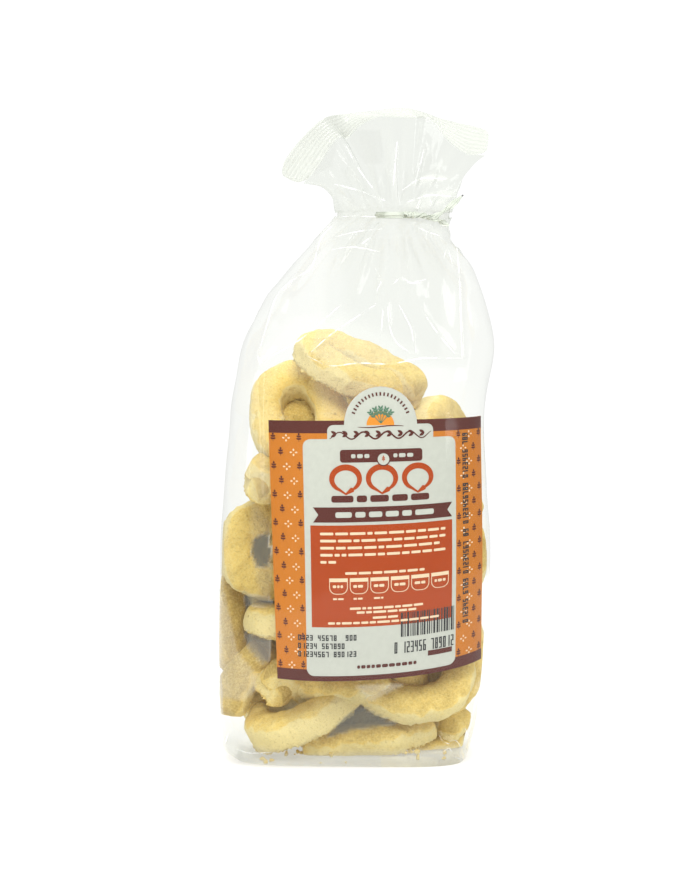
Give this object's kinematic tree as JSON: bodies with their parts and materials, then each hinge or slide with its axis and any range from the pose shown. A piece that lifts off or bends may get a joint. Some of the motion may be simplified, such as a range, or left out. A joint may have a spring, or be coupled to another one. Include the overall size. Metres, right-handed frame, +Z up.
{
  "type": "bag of taralli",
  "caption": "Clear film bag of ring biscuits with a gathered neck, a twist tie, a crimped seal and a printed label, standing on its flat base.",
  "frame": {"origin": "the middle of the flat base that the bag stands on", "axes": "+Z up, from the base to the sealed top; -Y is the front, where the label is; +X is to the right seen from the front"},
  "size_m": [0.122, 0.0764, 0.2853],
  "materials": {
    "film": "clear glossy film, creased",
    "label": "printed label, satin",
    "tie": "off-white coated wire tie",
    "biscuit": "baked dough, pale golden and dry"
  },
  "bodies": {
    "root": {"bag": "film", "label": "label", "tie": "tie"}
  },
  "joints": []
}
